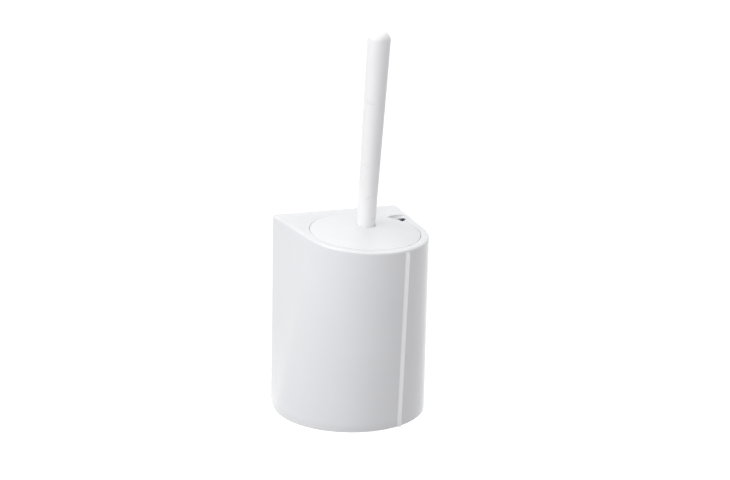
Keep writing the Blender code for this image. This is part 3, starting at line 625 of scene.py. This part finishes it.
def moulded(name, light, shade, rough_low, rough_high, grain, bump, coat=0.0, metal=0.0,
            blotch=22.0, sheen=0.0):
    """A moulded or drawn finish: faint cloudy colour, uneven polish and a fine skin."""
    made, tree, shader = new_material(name)
    nodes, links = tree.nodes, tree.links
    place = nodes.new("ShaderNodeTexCoord")
    cloud = nodes.new("ShaderNodeTexNoise")
    cloud.inputs["Scale"].default_value = blotch
    cloud.inputs["Detail"].default_value = 3.0
    ramp = nodes.new("ShaderNodeValToRGB")
    ramp.color_ramp.elements[0].position = 0.3
    ramp.color_ramp.elements[0].color = (*shade, 1.0)
    ramp.color_ramp.elements[1].position = 0.7
    ramp.color_ramp.elements[1].color = (*light, 1.0)
    links.new(place.outputs["Object"], cloud.inputs["Vector"])
    links.new(cloud.outputs["Fac"], ramp.inputs["Fac"])
    links.new(ramp.outputs["Color"], shader.inputs["Base Color"])
    polish = nodes.new("ShaderNodeTexNoise")
    polish.inputs["Scale"].default_value = blotch * 3.1
    polish.inputs["Detail"].default_value = 4.0
    span = nodes.new("ShaderNodeMapRange")
    span.inputs["From Min"].default_value = 0.3
    span.inputs["From Max"].default_value = 0.7
    span.inputs["To Min"].default_value = rough_low
    span.inputs["To Max"].default_value = rough_high
    links.new(place.outputs["Object"], polish.inputs["Vector"])
    links.new(polish.outputs["Fac"], span.inputs["Value"])
    links.new(span.outputs["Result"], shader.inputs["Roughness"])
    skin = nodes.new("ShaderNodeTexNoise")
    skin.inputs["Scale"].default_value = grain
    skin.inputs["Detail"].default_value = 2.0
    raised = nodes.new("ShaderNodeBump")
    raised.inputs["Strength"].default_value = bump
    raised.inputs["Distance"].default_value = 0.0002
    links.new(place.outputs["Object"], skin.inputs["Vector"])
    links.new(skin.outputs["Fac"], raised.inputs["Height"])
    links.new(raised.outputs["Normal"], shader.inputs["Normal"])
    shader.inputs["Metallic"].default_value = metal
    shader.inputs["Coat Weight"].default_value = coat
    shader.inputs["Coat Roughness"].default_value = 0.05
    shader.inputs["Sheen Weight"].default_value = sheen
    return made


def make_finishes():
    """The finishes of all the pieces."""
    return {
        "gloss": moulded("gloss_white_shell", (0.80, 0.81, 0.825), (0.785, 0.795, 0.81),
                         0.18, 0.23, 500.0, 0.03, coat=0.35),
        "lid": moulded("gloss_white_lid", (0.80, 0.81, 0.815), (0.785, 0.795, 0.80),
                       0.32, 0.38, 500.0, 0.03, coat=0.08),
        # Painted highlight: a brighter white than the shell, laid on the bead's slope for the bright
        # line of light down the front
        "bead": moulded("gloss_white_bead_painted_highlight", (0.95, 0.95, 0.96), (0.93, 0.93, 0.94),
                        0.18, 0.23, 500.0, 0.03, coat=0.35),
        "handle": moulded("gloss_white_handle", (0.89, 0.89, 0.89), (0.87, 0.87, 0.87),
                          0.27, 0.32, 500.0, 0.02, coat=0.15),
        "cup": moulded("satin_cup", (0.72, 0.73, 0.74), (0.68, 0.69, 0.70), 0.36, 0.5, 420.0, 0.15),
        "nylon": moulded("natural_nylon", (0.70, 0.70, 0.67), (0.63, 0.63, 0.60),
                         0.42, 0.58, 500.0, 0.2),
        "bristle": moulded("bristle_nylon", (0.94, 0.94, 0.93), (0.88, 0.88, 0.88),
                           0.4, 0.6, 300.0, 0.1, blotch=60.0, sheen=0.1),
        "rubber": moulded("soft_rubber", (0.30, 0.305, 0.31), (0.24, 0.245, 0.25),
                          0.7, 0.88, 900.0, 0.3),
        "steel": moulded("bright_steel", (0.62, 0.62, 0.63), (0.54, 0.54, 0.55),
                         0.2, 0.36, 600.0, 0.1, metal=1.0),
    }


def dress(piece, finish, body):
    """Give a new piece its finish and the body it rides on."""
    piece.data.materials.clear()
    piece.data.materials.append(finish)
    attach(piece, body)


def paint_bead_highlight(shell, finish):
    """Paint a highlight along the slope of the housing's bead: a brighter white in a second slot, for
    the bright line of light down the front.
    """
    shell.data.materials.append(finish)
    for face in shell.data.polygons:
        if on_bead(face.center):
            face.material_index = 1


def refinish(node, finish):
    """Give a piece of the frame its fine finish."""
    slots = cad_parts[node].material_slots
    for place in slots:
        place.material = finish
    if not slots:
        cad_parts[node].data.materials.append(finish)


# Studio

def make_stage():
    """Floor with a wall far round it, glowing so that both stay plain white."""
    bpy.ops.object.select_all(action="DESELECT")
    bpy.ops.mesh.primitive_circle_add(vertices=96, radius=STAGE_RADIUS, fill_type="NGON")
    floor = fresh("studio_floor")
    bpy.ops.object.mode_set(mode="EDIT")
    bpy.ops.mesh.select_all(action="DESELECT")
    bpy.ops.mesh.select_mode(type="EDGE")
    bpy.ops.mesh.select_non_manifold(extend=False)
    bpy.ops.mesh.extrude_region_move(TRANSFORM_OT_translate={"value": (0.0, 0.0, STAGE_RISE)})
    bpy.ops.mesh.select_mode(type="VERT")
    bpy.ops.object.mode_set(mode="OBJECT")
    finish, _, shader = new_material("studio_white")
    shader.inputs["Base Color"].default_value = STAGE_COLOUR
    shader.inputs["Roughness"].default_value = 1.0
    shader.inputs["Specular IOR Level"].default_value = 0.0
    shader.inputs["Emission Color"].default_value = (1.0, 1.0, 1.0, 1.0)
    shader.inputs["Emission Strength"].default_value = STAGE_GLOW
    floor.data.materials.append(finish)
    floor.visible_diffuse = False


def area_light(name, place, size, power, colour=(1.0, 1.0, 1.0)):
    """A soft rectangular light at a place, turned to the object."""
    bpy.ops.object.light_add(type="AREA", location=place)
    light = bpy.context.object
    light.name = name
    light.data.shape = "RECTANGLE"
    light.data.size, light.data.size_y = size
    light.data.energy = power
    light.data.color = colour
    light.rotation_euler = (Vector(LIGHT_AIM) - Vector(place)).to_track_quat("-Z", "Y").to_euler()


def make_lights():
    """Broad soft light from the left, from above and from the front, in a bright room."""
    area_light("key_left", KEY_PLACE, KEY_SIZE, KEY_POWER)
    area_light("top_soft", TOP_PLACE, TOP_SIZE, TOP_POWER, TOP_COLOUR)
    area_light("front_left", FRONT_PLACE, FRONT_SIZE, FRONT_POWER)
    air = bpy.context.scene.world
    if air is None:
        air = bpy.data.worlds.new("studio_air")
        bpy.context.scene.world = air
    air.use_nodes = True
    tree = air.node_tree
    glow = tree.nodes["Background"]
    glow.inputs["Color"].default_value = ROOM_COLOUR
    place = tree.nodes.new("ShaderNodeTexCoord")
    split = tree.nodes.new("ShaderNodeSeparateXYZ")
    level = tree.nodes.new("ShaderNodeMapRange")
    level.inputs["From Min"].default_value = -0.3
    level.inputs["From Max"].default_value = 0.3
    level.inputs["To Min"].default_value = LOW_ROOM_GLOW
    level.inputs["To Max"].default_value = ROOM_GLOW
    tree.links.new(place.outputs["Generated"], split.inputs["Vector"])
    tree.links.new(split.outputs["Z"], level.inputs["Value"])
    tree.links.new(level.outputs["Result"], glow.inputs["Strength"])
    bpy.context.scene.view_settings.view_transform = "Standard"


def make_camera():
    """Camera above and to the left of the front."""
    data = bpy.data.cameras.new("camera")
    data.lens = CAMERA_LENS
    data.sensor_width = 36.0
    camera = bpy.data.objects.new("camera", data)
    bpy.context.scene.collection.objects.link(camera)
    camera.matrix_world = (Matrix.Translation(CAMERA_PLACE)
                           @ Matrix.Rotation(CAMERA_AZIMUTH, 4, "Z")
                           @ Matrix.Rotation(math.pi / 2 - CAMERA_ELEVATION, 4, "X")
                           @ Matrix.Rotation(CAMERA_ROLL, 4, "Z"))
    bpy.context.scene.camera = camera


def main():
    """Model the fine pieces, finish everything and light it."""
    finishes = make_finishes()
    fine = (
        (make_housing, "housing", "gloss", "root", "gloss_white", 30),
        (make_cup, "inner_cup", "cup", "cup", "cup_white", 40),
        (make_lid, "lid", "lid", "lid", "gloss_white", 40),
        (make_handle, "handle", "handle", "brush", "gloss_white", 40),
        (make_hub, "brush_hub", "nylon", "brush", "nylon", 40),
        (make_bristles, "bristles", "bristle", "brush", "bristle_white", 60),
    )
    for make, node, finish, body, slot, angle in fine:
        piece = smooth(make(), angle)
        dress(piece, finishes[finish], body)
        if node == "housing":
            # The bead's slope gets the painted highlight
            paint_bead_highlight(piece, finishes["bead"])
        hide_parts(node)
    refinish("base_plate", finishes["cup"])
    for node in ("lid_bush", "handle_plug", "stem_sleeve", "hub_plug"):
        refinish(node, finishes["nylon"])
    for node in ("tie_rod", "rod_nut", "thrust_washer"):
        refinish(node, finishes["steel"])
    refinish("seat_ring", finishes["rubber"])
    for i in range(1, 5):
        refinish(f"base_screw_{i}", finishes["steel"])
        refinish(f"foot_{i}", finishes["rubber"])
    make_stage()
    make_lights()
    make_camera()


main()
